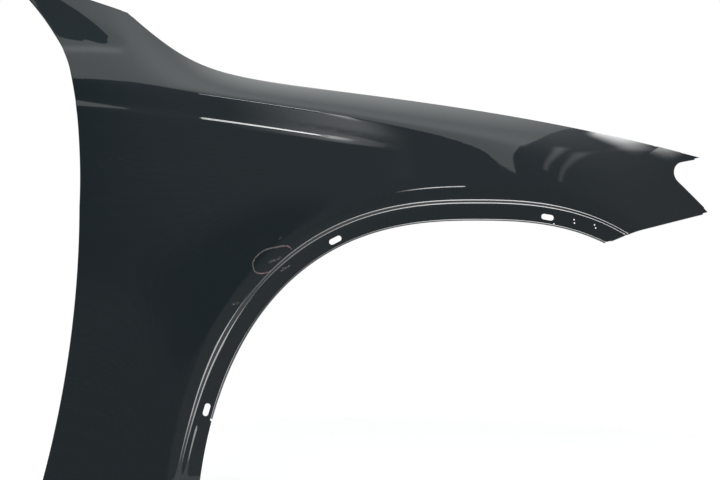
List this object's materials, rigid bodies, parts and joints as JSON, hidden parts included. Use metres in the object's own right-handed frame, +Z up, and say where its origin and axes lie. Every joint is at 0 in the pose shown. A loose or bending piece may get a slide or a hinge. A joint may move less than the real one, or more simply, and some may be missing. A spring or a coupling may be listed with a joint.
{
  "type": "car front fender",
  "caption": "Pressed steel front fender panel of a car, with a flared wheel arch, a stepped trim seat, a shoulder crease and folded mounting flanges.",
  "frame": {"origin": "underside of the second bolt pad from the rear on the wing rail flange, beside its bolt hole", "axes": "+X to the front of the car, +Z up, +Y inboard, so the painted outer face looks towards -Y"},
  "size_m": [1.1633, 0.2333, 0.8961],
  "materials": {
    "body_paint": "gloss dark blue-black clearcoat"
  },
  "bodies": {
    "root": {"fender_panel": "body_paint"}
  },
  "joints": []
}
